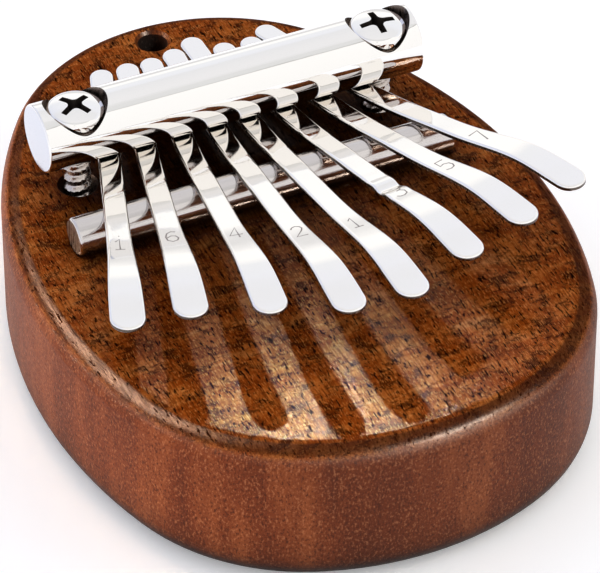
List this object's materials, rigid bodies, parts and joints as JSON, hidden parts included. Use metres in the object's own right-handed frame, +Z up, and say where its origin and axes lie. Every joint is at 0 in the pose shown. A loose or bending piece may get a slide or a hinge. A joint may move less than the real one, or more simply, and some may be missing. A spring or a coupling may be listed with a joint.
{
  "type": "thumb piano",
  "caption": "Small thumb piano: solid egg-shaped hardwood block, polished bridge rods and a screwed pressure bar holding a fan of spoon-ended spring steel tines.",
  "frame": {"origin": "centre of the flat base, under the middle of the block", "axes": "+Z up out of the tine side, +Y from the player's end to the lanyard hole, +X to the right seen from the player's end"},
  "size_m": [0.0694, 0.0923, 0.0344],
  "materials": {
    "hardwood": "satin lacquer",
    "polished_hardware": "mirror",
    "spring_steel": "polished"
  },
  "bodies": {
    "block": {"body": "hardwood", "front_bridge": "polished_hardware", "rear_bridge": "polished_hardware", "tine_1_root": "spring_steel", "tine_2_root": "spring_steel", "tine_3_root": "spring_steel", "tine_4_root": "spring_steel", "tine_5_root": "spring_steel", "tine_6_root": "spring_steel", "tine_7_root": "spring_steel", "tine_8_root": "spring_steel"},
    "bar": {"pressure_bar": "polished_hardware"},
    "left_screw": {"left_screw": "polished_hardware"},
    "right_screw": {"right_screw": "polished_hardware"},
    "tine_1": {"tine_1_reed": "spring_steel"},
    "tine_2": {"tine_2_reed": "spring_steel"},
    "tine_3": {"tine_3_reed": "spring_steel"},
    "tine_4": {"tine_4_reed": "spring_steel"},
    "tine_5": {"tine_5_reed": "spring_steel"},
    "tine_6": {"tine_6_reed": "spring_steel"},
    "tine_7": {"tine_7_reed": "spring_steel"},
    "tine_8": {"tine_8_reed": "spring_steel"}
  },
  "joints": [
    {"name": "bar_lift", "type": "slide", "parent": "block", "child": "bar", "axis": [0, 0, 1], "range_m": [0, 0.002]},
    {"name": "left_screw_turn", "type": "hinge", "parent": "bar", "child": "left_screw", "pos_m": [-0.0207, 0.0168, 0.02992], "axis": [0, 0, 1], "range_deg": [0, 450]},
    {"name": "right_screw_turn", "type": "hinge", "parent": "bar", "child": "right_screw", "pos_m": [0.0213, 0.0168, 0.02992], "axis": [0, 0, 1], "range_deg": [0, 450]},
    {"name": "tine_1_pluck", "type": "hinge", "parent": "block", "child": "tine_1", "pos_m": [-0.02093, 0.00366, 0.02633], "axis": [-0.9438, 0.3305, 0], "range_deg": [-2, 3.5], "stiffness_Nm_per_rad": 3.67},
    {"name": "tine_2_pluck", "type": "hinge", "parent": "block", "child": "tine_2", "pos_m": [-0.01495, 0.00363, 0.02633], "axis": [-0.9668, 0.2554, 0], "range_deg": [-2, 3.5], "stiffness_Nm_per_rad": 3.61},
    {"name": "tine_3_pluck", "type": "hinge", "parent": "block", "child": "tine_3", "pos_m": [-0.00855, 0.00361, 0.02633], "axis": [-0.989, 0.1478, 0], "range_deg": [-2, 3.5], "stiffness_Nm_per_rad": 3.23},
    {"name": "tine_4_pluck", "type": "hinge", "parent": "block", "child": "tine_4", "pos_m": [-0.00266, 0.0036, 0.02633], "axis": [-0.9984, 0.0558, 0], "range_deg": [-2, 3.5], "stiffness_Nm_per_rad": 2.85},
    {"name": "tine_5_pluck", "type": "hinge", "parent": "block", "child": "tine_5", "pos_m": [0.00272, 0.0036, 0.02633], "axis": [-0.9997, -0.0244, 0], "range_deg": [-2, 3.5], "stiffness_Nm_per_rad": 2.8},
    {"name": "tine_6_pluck", "type": "hinge", "parent": "block", "child": "tine_6", "pos_m": [0.00904, 0.00361, 0.02633], "axis": [-0.9903, -0.1392, 0], "range_deg": [-2, 3.5], "stiffness_Nm_per_rad": 3.18},
    {"name": "tine_7_pluck", "type": "hinge", "parent": "block", "child": "tine_7", "pos_m": [0.01585, 0.00363, 0.02633], "axis": [-0.9677, -0.2521, 0], "range_deg": [-2, 3.5], "stiffness_Nm_per_rad": 3.53},
    {"name": "tine_8_pluck", "type": "hinge", "parent": "block", "child": "tine_8", "pos_m": [0.02297, 0.00367, 0.02633], "axis": [-0.9272, -0.3746, 0], "range_deg": [-2, 3.5], "stiffness_Nm_per_rad": 4.05}
  ],
  "couplings": [
    {"joint": "left_screw_turn", "follows": "bar_lift", "rad_per_m": 3927},
    {"joint": "right_screw_turn", "follows": "bar_lift", "rad_per_m": 3927}
  ]
}
